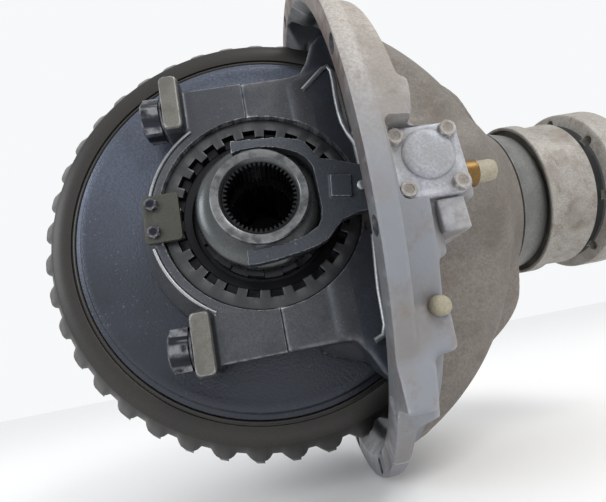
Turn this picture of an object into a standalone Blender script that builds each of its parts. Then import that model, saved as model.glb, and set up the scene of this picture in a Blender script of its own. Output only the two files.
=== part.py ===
"""Truck differential head with a driver-controlled differential lock.

Every piece is modelled about the gear centre, the point where the crown wheel's
axis (Y) crosses the pinion's axis (X).  The carrier's housing face is the plane
X = 0, so the gear centre lies behind it.  The near side is -Y, up is +Z.
"""
import math

import bmesh
import bpy
from mathutils import Vector

MM = 0.001
GAP = 0.3 * MM

# Driving dimensions, measured from the gear centre.
FLANGE_X = 64.5 * MM
FLANGE_R = 259 * MM
FLANGE_THICKNESS = 15 * MM
POCKET_R = 226 * MM
POCKET_FLOOR_X = 96 * MM
DRUM_FRONT_X = 108 * MM
NOSE_FACE_X = 262 * MM

BORE_R = 90 * MM
BORE_IN = 84 * MM
BORE_OUT = 125 * MM

CROWN_TEETH = 41
PINION_TEETH = 8
CROWN_PITCH_R = 226 * MM
GEAR_FACE = 62 * MM
SPIRAL_ANGLE = math.radians(33)
PRESSURE_ANGLE = math.radians(22.5)
BACKLASH = 0.5 * MM

SIDE_TEETH = 22
SPIDER_TEETH = 11
SIDE_CONE_DISTANCE = 84 * MM
SIDE_FACE = 25 * MM

DISC_R = 177 * MM
DISC_NEAR = 82 * MM
DISC_FAR = 60 * MM
CASE_WALL_R = 115 * MM
CASE_BORE_R = 92 * MM
HUB_R = 60 * MM
TRUNNION_R = 14 * MM

DOG_TEETH = 12
DOG_INNER_R = 45 * MM
SLEEVE_R = 57.3 * MM
SPLINES = 46
SPLINE_TIP_R = 27.6 * MM
SPLINE_ROOT_R = 30.4 * MM
FORK_TRAVEL = 12 * MM

ROD_X = 118.5 * MM
ROD_Z = -14.5 * MM
TOWER_FACE = 215 * MM
TOWER_FRONT_X = 147 * MM
PLUG_Y = 165 * MM
PLUG_Z = -15 * MM
CAP_BOLT_Z = 108.5 * MM
CAP_BOLT_Y = 110 * MM
LOCK_SCREWS = ((-97 * MM, 17 * MM), (-97 * MM, -8 * MM))

# Sides of the round shapes; coaxial neighbours share a number, so their flats line up.
RING_SIDES = 32
PINION_SIDES = 24

# Ways to point a piece's own Z axis.
NEAR = (math.pi / 2, 0, 0)
FAR = (-math.pi / 2, 0, 0)
FRONT = (0, math.pi / 2, 0)
BACK = (0, -math.pi / 2, 0)
UP = (0, 0, 0)
ORIGIN = (0, 0, 0)


# ---------------------------------------------------------------- scene setup
def clear_scene():
    for old in list(bpy.data.objects):
        bpy.data.objects.remove(old)


def add_centre():
    centre = bpy.data.objects.new("gear_centre", None)
    bpy.context.collection.objects.link(centre)
    centre.location = (-FLANGE_X, 0, 0)
    return centre


def make_look(name, colour, roughness, metallic):
    look = bpy.data.materials.new(name)
    look.use_nodes = True
    shader = look.node_tree.nodes["Principled BSDF"]
    shader.inputs["Base Color"].default_value = (*colour, 1)
    shader.inputs["Roughness"].default_value = roughness
    shader.inputs["Metallic"].default_value = metallic
    look.diffuse_color = (*colour, 1)
    return look


def make_looks():
    return {
        "cast": make_look("bare_casting", (0.16, 0.155, 0.14), 0.6, 0.5),
        "carrier": make_look("weathered_casting", (0.40, 0.37, 0.33), 0.75, 0.2),
        "case": make_look("case_iron", (0.085, 0.10, 0.125), 0.45, 0.7),
        "gear": make_look("gear_steel", (0.07, 0.068, 0.065), 0.4, 0.8),
        "machined": make_look("machined_steel", (0.22, 0.22, 0.215), 0.3, 0.9),
        "fork": make_look("fork_steel", (0.10, 0.105, 0.115), 0.5, 0.6),
        "bolt": make_look("bolt_steel", (0.09, 0.10, 0.13), 0.5, 0.7),
        "brass": make_look("brass", (0.32, 0.19, 0.05), 0.4, 0.9),
        "rubber": make_look("seal_rubber", (0.02, 0.02, 0.02), 0.8, 0.0),
    }


# ------------------------------------------------------------- mesh functions
def add_object(name, bm, look, at=ORIGIN, turn=UP):
    bmesh.ops.recalc_face_normals(bm, faces=bm.faces)
    mesh = bpy.data.meshes.new(name)
    bm.to_mesh(mesh)
    bm.free()
    mesh.materials.append(look)
    mesh.shade_smooth()
    mesh.set_sharp_from_angle(angle=math.radians(35))
    piece = bpy.data.objects.new(name, mesh)
    bpy.context.collection.objects.link(piece)
    piece.parent = CENTRE
    piece.location = at
    piece.rotation_euler = turn
    return piece


def copy_piece(source, name, at=ORIGIN, turn=UP):
    """A second object on the same mesh, with the same cuts made to it."""
    piece = source.copy()
    piece.name = name
    bpy.context.collection.objects.link(piece)
    piece.location = at
    piece.rotation_euler = turn
    return piece


def bake(piece):
    """Apply the piece's modifiers, so that copies can share the finished mesh."""
    graph = bpy.context.evaluated_depsgraph_get()
    finished = bpy.data.meshes.new_from_object(piece.evaluated_get(graph))
    piece.modifiers.clear()
    piece.data = finished
    return piece


def bridge(bm, rings, looped):
    """Join rings of vertices with quads; looped also joins the last to the first."""
    pairs = list(zip(rings, rings[1:]))
    if looped:
        pairs.append((rings[-1], rings[0]))
    for ring, following in pairs:
        for i in range(len(ring)):
            j = (i + 1) % len(ring)
            corners = []
            for corner in (ring[i], ring[j], following[j], following[i]):
                if corner not in corners:
                    corners.append(corner)
            if len(corners) > 2:
                bm.faces.new(corners)


def hexagon(radius, angle):
    """Distance to a hexagon's edge, from the radius of its inner circle."""
    sector = math.radians(60)
    return radius / math.cos((angle + sector / 2) % sector - sector / 2)


def turned(name, look, profile, steps=RING_SIDES, at=ORIGIN, turn=UP):
    """Turn a closed profile of (along, radius) about Z; "hex" makes a ring hexagonal."""
    bm = bmesh.new()
    rings = []
    for along, radius, *form in profile:
        if radius == 0:
            rings.append([bm.verts.new((0, 0, along))] * steps)
            continue
        ring = []
        for i in range(steps):
            angle = math.tau * i / steps
            reach = hexagon(radius, angle) if form else radius
            ring.append(bm.verts.new((reach * math.cos(angle), reach * math.sin(angle), along)))
        rings.append(ring)
    looped = profile[0][1] > 0
    bridge(bm, rings, looped)
    return add_object(name, bm, look, at, turn)


def prism(name, look, outline, start, end, at=ORIGIN, turn=UP):
    """Raise an outline of (x, y) points from start to end along Z."""
    bm = bmesh.new()
    rings = [[bm.verts.new((x, y, z)) for x, y in outline] for z in (start, end)]
    bridge(bm, rings, False)
    bm.faces.new(rings[0])
    bm.faces.new(rings[1])
    return add_object(name, bm, look, at, turn)


def block(name, look, low, high):
    """An upright box between two corners."""
    outline = [(low[0], low[1]), (high[0], low[1]), (high[0], high[1]), (low[0], high[1])]
    return prism(name, look, outline, low[2], high[2])


def wedges(name, look, count, width, radii, heights, phase=0, at=ORIGIN, turn=UP):
    """A ring of separate blocks, each spanning an angle, for cutting notches."""
    bm = bmesh.new()
    for k in range(count):
        middle = phase + math.tau * k / count
        corners = [(r, middle + s * width / 2) for r, s in
                   ((radii[0], -1), (radii[1], -1), (radii[1], 1), (radii[0], 1))]
        rings = [[bm.verts.new((r * math.cos(a), r * math.sin(a), z)) for r, a in corners]
                 for z in heights]
        bridge(bm, rings, False)
        bm.faces.new(rings[0])
        bm.faces.new(rings[1])
    return add_object(name, bm, look, at, turn)


def drills(name, look, spots, radius, start, end, at=ORIGIN, turn=UP, sides=16):
    """Separate round bars at the given (x, y) spots, for drilling holes."""
    bm = bmesh.new()
    for x, y in spots:
        rings = []
        for z in (start, end):
            rings.append([bm.verts.new((x + radius * math.cos(math.tau * i / sides),
                                        y + radius * math.sin(math.tau * i / sides), z))
                          for i in range(sides)])
        bridge(bm, rings, False)
        bm.faces.new(rings[0])
        bm.faces.new(rings[1])
    return add_object(name, bm, look, at, turn)


def circle_spots(radius, count, phase=0.0):
    return [(radius * math.cos(phase + math.tau * k / count),
             radius * math.sin(phase + math.tau * k / count)) for k in range(count)]


def arc(radius, start, end, count, centre=(0, 0)):
    """Points along an arc; angles in degrees."""
    points = []
    for k in range(count + 1):
        angle = math.radians(start + (end - start) * k / count)
        points.append((centre[0] + radius * math.cos(angle), centre[1] + radius * math.sin(angle)))
    return points


def combine(piece, others, operation):
    """Boolean a piece with helper shapes, which are left out of the model."""
    for other in others:
        other.hide_render = True
        other.display_type = "WIRE"
        step = piece.modifiers.new(other.name, "BOOLEAN")
        step.operation = operation
        step.object = other
        step.solver = "EXACT"
    return piece


def cut(piece, *others):
    return combine(piece, others, "DIFFERENCE")


def join(piece, *others):
    return combine(piece, others, "UNION")


# ----------------------------------------------------------------- bevel gears
def involute(angle):
    return math.tan(angle) - angle


def tooth_side(teeth, module, shift, addendum, dedendum, points):
    """One flank of a tooth as (radius, half angle), from its root to its tip."""
    pitch_r = teeth * module / 2
    base_r = pitch_r * math.cos(PRESSURE_ANGLE)
    thickness = module * (math.pi / 2 + 2 * shift * math.tan(PRESSURE_ANGLE)) - BACKLASH
    half = thickness / (2 * pitch_r) + involute(PRESSURE_ANGLE)
    root_r = pitch_r - dedendum * module
    tip_r = pitch_r + addendum * module
    side = []
    for k in range(points):
        radius = root_r + (tip_r - root_r) * k / (points - 1)
        roll = math.acos(min(1, base_r / radius))
        side.append((radius, half - involute(roll)))
    return side


def cone_outline(teeth, cone, distance, shift, addendum, dedendum, points):
    """The tooth outline all round a bevel gear, as (angle from axis, angle round it)."""
    module = 2 * distance * math.sin(cone) / teeth
    pitch_r = distance * math.tan(cone)
    side = tooth_side(teeth / math.cos(cone), module, shift, addendum, dedendum, points)
    outline = []
    for k in range(teeth):
        middle = math.tau * k / teeth
        rising = [(r, -half) for r, half in side]
        falling = [(r, half) for r, half in reversed(side)]
        for radius, half in rising + falling:
            outline.append((cone + (radius - pitch_r) / distance, middle + half / math.cos(cone)))
    return outline


def on_cone(distance, polar, azimuth):
    return (distance * math.sin(polar) * math.cos(azimuth),
            distance * math.sin(polar) * math.sin(azimuth),
            distance * math.cos(polar))


def bevel_gear(name, look, outline, reaches, body, twist=0.0, spans=1, turn=UP, phase=0.0):
    """Teeth between two cone distances, closed by a body of (along, radius) rings.

    The body runs from the teeth's outer ends, round the back, to their inner ends.
    A last ring of radius 0 closes a solid gear on its axis.
    """
    bm = bmesh.new()
    inner, outer = reaches
    rings = []
    for k in range(spans + 1):
        reach = inner + (outer - inner) * k / spans
        turned_by = phase + twist * math.log(reach / outer)
        rings.append([bm.verts.new(on_cone(reach, polar, azimuth + turned_by))
                      for polar, azimuth in outline])
    for number, (along, radius) in enumerate(body):
        inside = number >= len(body) / 2
        turned_by = phase + (twist * math.log(inner / outer) if inside else 0)
        if radius == 0:
            rings.append([bm.verts.new((0, 0, along))] * len(outline))
        else:
            rings.append([bm.verts.new((radius * math.cos(azimuth + turned_by),
                                        radius * math.sin(azimuth + turned_by), along))
                          for _, azimuth in outline])
    if body[-1][1] == 0:
        nose = [bm.verts.new((0, 0, inner * math.cos(outline[0][0])))] * len(outline)
        bridge(bm, [nose] + rings, False)
    else:
        bridge(bm, rings, True)
    return add_object(name, bm, look, ORIGIN, turn)


def spline_cutter(look, start, end, turn):
    """A toothed bar that leaves an axle shaft's fine internal spline."""
    outline = []
    for k in range(SPLINES):
        for radius, offset in ((SPLINE_ROOT_R, 0), (SPLINE_TIP_R, 0.5)):
            angle = math.tau * (k + offset) / SPLINES
            outline.append((radius * math.cos(angle), radius * math.sin(angle)))
    return prism("spline_cutter", look, outline, start, end, ORIGIN, turn)


# ---------------------------------------------------------------- final drive
def make_crown_wheel(looks):
    """Spiral crown wheel, pressed and welded on the case disc's rim."""
    cone = math.atan2(CROWN_TEETH, PINION_TEETH)
    distance = CROWN_PITCH_R / math.sin(cone)
    outline = cone_outline(CROWN_TEETH, cone, distance, -0.45, 0.55, 1.35, 2)
    back = 75.6 * MM
    seat = DISC_FAR - GAP
    body = [(back, 205 * MM), (back, 184 * MM), (seat, 184 * MM), (seat, 150 * MM)]
    return bevel_gear("crown_wheel", looks["gear"], outline, (distance - GEAR_FACE, distance),
                      body, math.tan(SPIRAL_ANGLE), 3, NEAR, math.pi / CROWN_TEETH)


def make_drive_pinion(looks):
    """Spiral pinion in one piece with its shaft and its threaded end."""
    cone = math.atan2(PINION_TEETH, CROWN_TEETH)
    distance = CROWN_PITCH_R / math.cos(cone)
    outline = cone_outline(PINION_TEETH, cone, distance, 0.45, 1.2, 0.75, 3)
    twist = -math.tan(SPIRAL_ANGLE) * CROWN_TEETH / PINION_TEETH
    shoulder = 231 * MM
    pinion = bevel_gear("drive_pinion", looks["gear"], outline, (distance - GEAR_FACE, distance),
                        [(shoulder, 44 * MM), (shoulder, 0)], twist, 7, FRONT)
    shaft = turned("pinion_shaft", looks["gear"], [
        (200 * MM, 0), (200 * MM, 28 * MM), (228 * MM, 32 * MM), (230 * MM, 43.5 * MM),
        (233.5 * MM, 43.5 * MM), (233.5 * MM, 35.7 * MM), (261 * MM, 35.7 * MM), (261 * MM, 30.7 * MM),
        (287.5 * MM, 30.7 * MM), (287.5 * MM, 25 * MM), (354 * MM, 25 * MM),
        (354 * MM, 21.7 * MM), (378 * MM, 21.7 * MM), (378 * MM, 0)], PINION_SIDES, ORIGIN, FRONT)
    return join(pinion, shaft)


def make_pinion_bearings(looks):
    for place, start, end, bore, cup_r in (("inner", 234, 258, 36, 66), ("outer", 264, 286, 31, 58)):
        low, high = start * MM, end * MM
        race = (bore + 0.45 * (cup_r - bore)) * MM
        slope = (4 if place == "inner" else -4) * MM
        outer_r = (cup_r - GAP / MM) * MM
        turned("pinion_cone_" + place, looks["machined"], [
            (low, bore * MM), (low, race + 6 * MM - slope), (high, race + 6 * MM + slope),
            (high, bore * MM)], PINION_SIDES, ORIGIN, FRONT)
        turned("pinion_cup_" + place, looks["machined"], [
            (low, race + 6.6 * MM - slope), (low, outer_r), (high, outer_r),
            (high, race + 6.6 * MM + slope)], PINION_SIDES, ORIGIN, FRONT)


def make_pinion_cage(looks):
    """Bolted housing that carries both pinion bearings and the oil seal."""
    turned("pinion_cage", looks["carrier"], [
        (232 * MM, 66 * MM), (232 * MM, 74.7 * MM), (NOSE_FACE_X + GAP, 74.7 * MM),
        (NOSE_FACE_X + GAP, 86 * MM), (266 * MM, 84.5 * MM), (286 * MM, 80 * MM),
        (291 * MM, 78 * MM), (298 * MM, 72 * MM), (298 * MM, 46.3 * MM), (288 * MM, 46.3 * MM),
        (288 * MM, 58 * MM), (263 * MM, 58 * MM), (263 * MM, 52 * MM),
        (259 * MM, 52 * MM), (259 * MM, 66 * MM)], PINION_SIDES, ORIGIN, FRONT)
    turned("pinion_seal", looks["rubber"], [
        (289 * MM, 38 * MM), (289 * MM, 46 * MM), (297.5 * MM, 46 * MM), (297.5 * MM, 38 * MM)],
        PINION_SIDES, ORIGIN, FRONT)


def make_companion_flange(looks):
    flange = turned("companion_flange", looks["carrier"], [
        (288.5 * MM, 25.3 * MM), (288.5 * MM, 37.6 * MM), (301 * MM, 37.6 * MM),
        (301 * MM, 62 * MM), (305.5 * MM, 62 * MM), (305.5 * MM, 84 * MM), (344 * MM, 84 * MM),
        (347 * MM, 79 * MM), (356 * MM, 79 * MM), (359 * MM, 92 * MM), (388 * MM, 92 * MM), (388 * MM, 42 * MM),
        (354 * MM, 40 * MM), (354 * MM, 25.3 * MM)], PINION_SIDES, ORIGIN, FRONT)
    bolts = drills("flange_bolt_cutter", looks["carrier"], circle_spots(81 * MM, 8, 0.39), 5.5 * MM,
                   352 * MM, 395 * MM, ORIGIN, FRONT, 6)
    cut(flange, bolts)
    turned("dust_shield", looks["carrier"], [
        (301.5 * MM, 62.7 * MM), (301 * MM, 83 * MM), (291 * MM, 84 * MM),
        (291 * MM, 88 * MM), (305 * MM, 88 * MM), (305 * MM, 62.7 * MM)],
        PINION_SIDES, ORIGIN, FRONT)
    turned("pinion_nut", looks["bolt"], [
        (354.3 * MM, 22.6 * MM), (354.3 * MM, 30 * MM, "hex"), (374 * MM, 30 * MM, "hex"),
        (374 * MM, 22.6 * MM)], 12, ORIGIN, FRONT)


# ------------------------------------------------------------ differential case
def dog_notches(look, name, start, end, phase):
    """Cutter for the gaps between the dog clutch's face teeth."""
    return wedges(name, look, DOG_TEETH, math.radians(16), (DOG_INNER_R - 4 * MM, 64 * MM),
                  (start, end), phase, ORIGIN, NEAR)


def trunnion_cutters(look):
    across = drills("trunnion_bar_x", look, [(0, 0)], TRUNNION_R + GAP, -130 * MM, 130 * MM,
                    ORIGIN, FRONT, 24)
    upright = drills("trunnion_bar_z", look, [(0, 0)], TRUNNION_R + GAP, -130 * MM, 130 * MM,
                     ORIGIN, UP, 24)
    return across, upright


def make_case(looks):
    """The two case halves, split on the plane of the cross."""
    bore = 42.3 * MM
    floor = 62 * MM
    bolt_spots = circle_spots(103.5 * MM, 4, math.pi / 4)
    flange_half = turned("case_flange_half", looks["case"], [
        (GAP / 2, CASE_BORE_R), (GAP / 2, CASE_WALL_R), (DISC_FAR, CASE_WALL_R),
        (DISC_FAR, DISC_R), (DISC_NEAR, DISC_R), (DISC_NEAR, HUB_R),
        (118 * MM, HUB_R), (118 * MM, bore), (floor, bore), (floor, CASE_BORE_R)],
        RING_SIDES, ORIGIN, NEAR)
    holes = drills("flange_half_bolt_holes", looks["case"], bolt_spots, 7.4 * MM,
                   -1 * MM, 42 * MM, ORIGIN, NEAR, 8)
    bars = trunnion_cutters(looks["case"])
    notches = dog_notches(looks["case"], "case_dog_cutter", 109 * MM, 120 * MM, 0)
    cut(flange_half, *bars, holes, notches)
    plain_half = turned("case_plain_half", looks["case"], [
        (GAP / 2, CASE_BORE_R), (GAP / 2, CASE_WALL_R), (68 * MM, CASE_WALL_R),
        (68 * MM, 91 * MM), (DISC_NEAR, 86 * MM), (DISC_NEAR, HUB_R), (108 * MM, HUB_R),
        (108 * MM, bore), (floor, bore), (floor, CASE_BORE_R)], RING_SIDES, ORIGIN, FAR)
    holes = drills("plain_half_bolt_holes", looks["case"], bolt_spots, 7.4 * MM,
                   -1 * MM, 75 * MM, ORIGIN, FAR, 8)
    cut(plain_half, *bars, holes)
    for number, (x, z) in enumerate(bolt_spots, 1):
        turned("case_bolt_%d" % number, looks["bolt"], [
            (-40 * MM, 0), (-40 * MM, 6.5 * MM), (68.3 * MM, 6.5 * MM), (68.3 * MM, 10 * MM, "hex"),
            (78 * MM, 10 * MM, "hex"), (78 * MM, 0)], 6, (x, 0, z), FAR)


def make_cross(looks):
    """Four-armed spider shaft with a round hub."""
    steel = looks["machined"]
    cross = turned("cross", steel, [
        (-18 * MM, 10 * MM), (-18 * MM, 26 * MM), (18 * MM, 26 * MM), (18 * MM, 10 * MM)],
        RING_SIDES, ORIGIN, NEAR)
    arms = [drills("cross_arm", steel, [(0, 0)], TRUNNION_R, 17 * MM, 113 * MM, ORIGIN,
                   (0, quarter * math.pi / 2, 0), 24) for quarter in range(4)]
    return join(cross, *arms)


def make_side_gears(looks):
    cone = math.atan2(SIDE_TEETH, SPIDER_TEETH)
    outline = cone_outline(SIDE_TEETH, cone, SIDE_CONE_DISTANCE, -0.3, 0.7, 1.3, 2)
    reaches = (SIDE_CONE_DISTANCE - SIDE_FACE, SIDE_CONE_DISTANCE)
    back = 59 * MM
    half_pitch = math.pi / SIDE_TEETH
    for side, turn, phase in (("near", NEAR, 0), ("far", FAR, half_pitch)):
        gear = bevel_gear("side_gear_" + side, looks["gear"], outline, reaches,
                          [(back, 71 * MM), (back, 0)], 0, 1, turn, phase)
        hub = turned("side_gear_hub", looks["gear"], [
            (back - 9 * MM, 0), (back - 9 * MM, 42 * MM), (106 * MM, 42 * MM), (106 * MM, 0)],
            RING_SIDES, ORIGIN, turn)
        join(gear, hub)
        cut(gear, spline_cutter(looks["gear"], 15 * MM, 112 * MM, turn))
        turned("side_washer_" + side, looks["brass"], [
            (59.3 * MM, 43.5 * MM), (59.3 * MM, 71 * MM), (61.7 * MM, 71 * MM),
            (61.7 * MM, 43.5 * MM)], 16, ORIGIN, turn)


def make_spider_gears(looks):
    """Four spider gears on the cross; the upright pair sits half a tooth round."""
    cone = math.atan2(SPIDER_TEETH, SIDE_TEETH)
    outline = cone_outline(SPIDER_TEETH, cone, SIDE_CONE_DISTANCE, 0.3, 1.15, 0.85, 2)
    reaches = (SIDE_CONE_DISTANCE - SIDE_FACE + 2 * MM, SIDE_CONE_DISTANCE)
    bore = TRUNNION_R + GAP
    body = [(87 * MM, bore), (56 * MM, bore)]
    towards_near = -math.pi / 2
    half_pitch = math.pi / SPIDER_TEETH
    for name, angle, phase in (("upper", 0, towards_near), ("lower", math.pi, towards_near),
                               ("front", math.pi / 2, towards_near + half_pitch),
                               ("rear", -math.pi / 2, towards_near + half_pitch)):
        bevel_gear("spider_gear_" + name, looks["gear"], outline, reaches, body, 0, 1,
                   (0, angle, 0), phase)


# ------------------------------------------------------- bearings and adjusters
def make_case_bearings(looks):
    """Taper roller bearings on both hubs of the case; rollers are part of the cone."""
    cone = turned("bearing_cone_near", looks["machined"], [
        (82.3 * MM, HUB_R + GAP), (82.3 * MM, 74 * MM), (86 * MM, 77.5 * MM),
        (99 * MM, 74.5 * MM), (102 * MM, 68 * MM), (102 * MM, HUB_R + GAP)],
        RING_SIDES, ORIGIN, NEAR)
    gaps = wedges("roller_gap_cutter", looks["machined"], 10, math.radians(7),
                  (71 * MM, 82 * MM), (87.5 * MM, 97.5 * MM), 0, ORIGIN, NEAR)
    cut(cone, gaps)
    bake(cone)
    cup = turned("bearing_cup_near", looks["machined"], [
        (84.3 * MM, 78.8 * MM), (84.3 * MM, BORE_R - GAP), (102 * MM, BORE_R - GAP),
        (102 * MM, 74.8 * MM)], RING_SIDES, ORIGIN, NEAR)
    copy_piece(cone, "bearing_cone_far", ORIGIN, FAR)
    copy_piece(cup, "bearing_cup_far", ORIGIN, FAR)


def make_adjusters(looks):
    """Threaded rings that preload the bearings, with notches for the lock plates."""
    ring = turned("adjuster_near", looks["machined"], [
        (103 * MM, 64 * MM), (103 * MM, BORE_R - GAP), (120 * MM, BORE_R - GAP),
        (120 * MM, 73 * MM), (110 * MM, 73 * MM), (110 * MM, 64 * MM)],
        RING_SIDES, ORIGIN, NEAR)
    notches = wedges("adjuster_notch_cutter", looks["machined"], 24, math.radians(7.5),
                     (70 * MM, 79 * MM), (111 * MM, 122 * MM), 0, ORIGIN, NEAR)
    cut(ring, notches)
    bake(ring)
    copy_piece(ring, "adjuster_far", ORIGIN, FAR)


def cap_outline(outer_r):
    """Half disc with two legs that meet the carrier's pedestal at the split plane."""
    leg = 127 * MM
    shoulder_x = -56 * MM
    shoulder_angle = math.degrees(math.acos(shoulder_x / outer_r))
    outline = [(-GAP, -leg), (-GAP, leg), (shoulder_x, leg)]
    outline += arc(outer_r, shoulder_angle, 360 - shoulder_angle, 12)
    outline += [(shoulder_x, -leg)]
    return outline


def bearing_bore(look, turn):
    return drills("bearing_bore", look, [(0, 0)], BORE_R, BORE_IN - 2 * MM, BORE_OUT + 15 * MM,
                  ORIGIN, turn, RING_SIDES)


def make_bearing_caps(looks):
    cap = prism("bearing_cap_near", looks["cast"], cap_outline(112 * MM),
                BORE_IN + GAP, BORE_OUT, ORIGIN, NEAR)
    pad = [(-75 * MM, 82 * MM), (-50 * MM, 82 * MM), (-50 * MM, 138 * MM), (-75 * MM, 138 * MM)]
    pads = [prism("cap_pad_upper", looks["cast"], pad, 86 * MM, 135 * MM, ORIGIN, NEAR),
            prism("cap_pad_lower", looks["cast"], [(x, -z) for x, z in pad],
                  86 * MM, 135 * MM, ORIGIN, NEAR)]
    holes = drills("cap_bolt_holes", looks["cast"],
                   [(CAP_BOLT_Z, -CAP_BOLT_Y), (-CAP_BOLT_Z, -CAP_BOLT_Y)], 12.3 * MM,
                   -5 * MM, 85 * MM, ORIGIN, BACK, 12)
    screw_holes = drills("lock_screw_holes", looks["cast"], LOCK_SCREWS, 3.9 * MM, 112 * MM,
                         130 * MM, ORIGIN, NEAR, 8)
    join(cap, *pads)
    cut(cap, bearing_bore(looks["cast"], NEAR), holes, screw_holes)
    bake(cap)
    copy_piece(cap, "bearing_cap_far", ORIGIN, FAR)
    for side, y in (("near", -CAP_BOLT_Y), ("far", CAP_BOLT_Y)):
        for level, z in (("upper", CAP_BOLT_Z), ("lower", -CAP_BOLT_Z)):
            turned("cap_bolt_%s_%s" % (side, level), looks["bolt"], [
                (-50 * MM, 0), (-50 * MM, 11.7 * MM), (75.3 * MM, 11.7 * MM),
                (75.3 * MM, 22 * MM), (79.5 * MM, 22 * MM), (79.5 * MM, 18 * MM, "hex"),
                (95.5 * MM, 18 * MM, "hex"), (95.5 * MM, 0)], 12, (0, y, z), BACK)


def make_lock_plates(looks):
    """Plates whose tongue sits in an adjuster's notch, held by two screws."""
    face = BORE_OUT + GAP
    plate = prism("lock_plate_near", looks["cast"], [
        (-105 * MM, -17 * MM), (-73.5 * MM, -17 * MM), (-73.5 * MM, 26 * MM), (-105 * MM, 26 * MM)],
        face, 130 * MM, ORIGIN, NEAR)
    tongue = prism("lock_tongue", looks["cast"], [
        (-78.4 * MM, -3.5 * MM), (-73.5 * MM, -3.5 * MM), (-73.5 * MM, 3.5 * MM),
        (-78.4 * MM, 3.5 * MM)], 114 * MM, 128 * MM, ORIGIN, NEAR)
    holes = drills("lock_plate_holes", looks["cast"], LOCK_SCREWS, 3.9 * MM, 120 * MM,
                   135 * MM, ORIGIN, NEAR, 8)
    join(plate, tongue)
    cut(plate, holes)
    bake(plate)
    copy_piece(plate, "lock_plate_far", ORIGIN, FAR)
    for side, turn, sign in (("near", NEAR, 1), ("far", FAR, -1)):
        for number, (x, z) in enumerate(LOCK_SCREWS, 1):
            turned("lock_screw_%s_%d" % (side, number), looks["bolt"], [
                (114 * MM, 0), (114 * MM, 3.5 * MM), (130.3 * MM, 3.5 * MM),
                (130.3 * MM, 5.5 * MM, "hex"), (135 * MM, 5.5 * MM, "hex"), (135 * MM, 0)],
                6, (x, 0, sign * z), turn)


# ------------------------------------------------------------- differential lock
def make_lock_sleeve(looks):
    sleeve = turned("lock_sleeve", looks["machined"], [
        (122 * MM, 27 * MM), (122 * MM, SLEEVE_R), (138 * MM, SLEEVE_R), (141 * MM, 54 * MM),
        (141 * MM, 36 * MM), (150.5 * MM, 36 * MM), (150.5 * MM, 40.8 * MM),
        (157 * MM, 40.8 * MM), (157 * MM, 33.5 * MM), (153 * MM, 27 * MM)],
        RING_SIDES, ORIGIN, NEAR)
    notches = dog_notches(looks["machined"], "sleeve_dog_cutter", 121 * MM, 131 * MM,
                          math.pi / DOG_TEETH)
    cut(sleeve, notches, spline_cutter(looks["machined"], 115 * MM, 165 * MM, NEAR))


def make_shift_fork(looks):
    """C-shaped fork on its rod; two pads run in the sleeve's groove."""
    rear, front = 141.8 * MM, 152 * MM
    inner_side = [(-16, 58), (-16, 48), (8.6, 43), (28, 39), (42, 31), (49, 16), (49, -15),
                  (43, -29), (30, -38), (14, -42), (-6, -43), (-17, -43), (-17, -50)]
    outer_side = [(12, -52), (38, -47), (56, -37), (72, -28), (88, -25), (114, -32),
                  (118, 3), (100, 14), (77, 23), (51, 44), (28, 53), (4, 58)]
    outline = [(x * MM, z * MM) for x, z in inner_side + outer_side]
    fork = prism("shift_fork", looks["fork"], outline, rear, front, ORIGIN, NEAR)
    pads = []
    for level, low, high in (("upper", 36.9, 46), ("lower", -46, -36.9)):
        corners = [(-10, low), (8, low), (8, high), (-10, high)]
        pads.append(prism("fork_pad_" + level, looks["fork"], [(x * MM, z * MM) for x, z in corners],
                          142 * MM, 149.9 * MM, ORIGIN, NEAR))
    hub = drills("fork_hub", looks["fork"], [(ROD_X, ROD_Z)], 18 * MM, 139 * MM, 152.6 * MM,
                 ORIGIN, NEAR, 24)
    bore = drills("fork_bore", looks["fork"], [(ROD_X, ROD_Z)], 9.3 * MM, 130 * MM, 160 * MM,
                  ORIGIN, NEAR, 24)
    join(fork, *pads, hub)
    cut(fork, bore)
    at = (ROD_X, 0, ROD_Z)
    turned("shift_rod", looks["machined"], [
        (120 * MM, 0), (120 * MM, 9 * MM), (195.6 * MM, 9 * MM), (195.6 * MM, 0)],
        24, at, NEAR)
    turned("shift_piston", looks["machined"], [
        (196 * MM, 0), (196 * MM, 18 * MM), (203 * MM, 18 * MM), (203 * MM, 0)], 24, at, NEAR)


def make_return_spring(looks):
    """Coil spring between the rod's inner end and the floor of its pocket."""
    turns, steps, sides = 5, 8, 4
    coil_r, wire_r = 6.6 * MM, 1.3 * MM
    start, end = 88.9 * MM, 118.2 * MM
    bm = bmesh.new()
    rings = []
    for i in range(turns * steps + 1):
        angle = math.tau * i / steps
        along = start + (end - start) * i / (turns * steps)
        outward = Vector((math.cos(angle), math.sin(angle), 0))
        middle = outward * coil_r + Vector((0, 0, along))
        ring = []
        for j in range(sides):
            around = math.tau * j / sides
            ring.append(bm.verts.new(middle + outward * wire_r * math.cos(around)
                                     + Vector((0, 0, wire_r * math.sin(around)))))
        rings.append(ring)
    bridge(bm, rings, False)
    bm.faces.new(rings[0])
    bm.faces.new(rings[-1])
    return add_object("return_spring", bm, looks["machined"], (ROD_X, 0, ROD_Z), NEAR)


def rounded_square(half, radius, centre):
    outline = []
    for quarter, (sx, sz) in enumerate(((1, 1), (-1, 1), (-1, -1), (1, -1))):
        corner = (centre[0] + sx * (half - radius), centre[1] + sz * (half - radius))
        outline += arc(radius, 90 * quarter, 90 * quarter + 90, 4, corner)
    return outline


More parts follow.
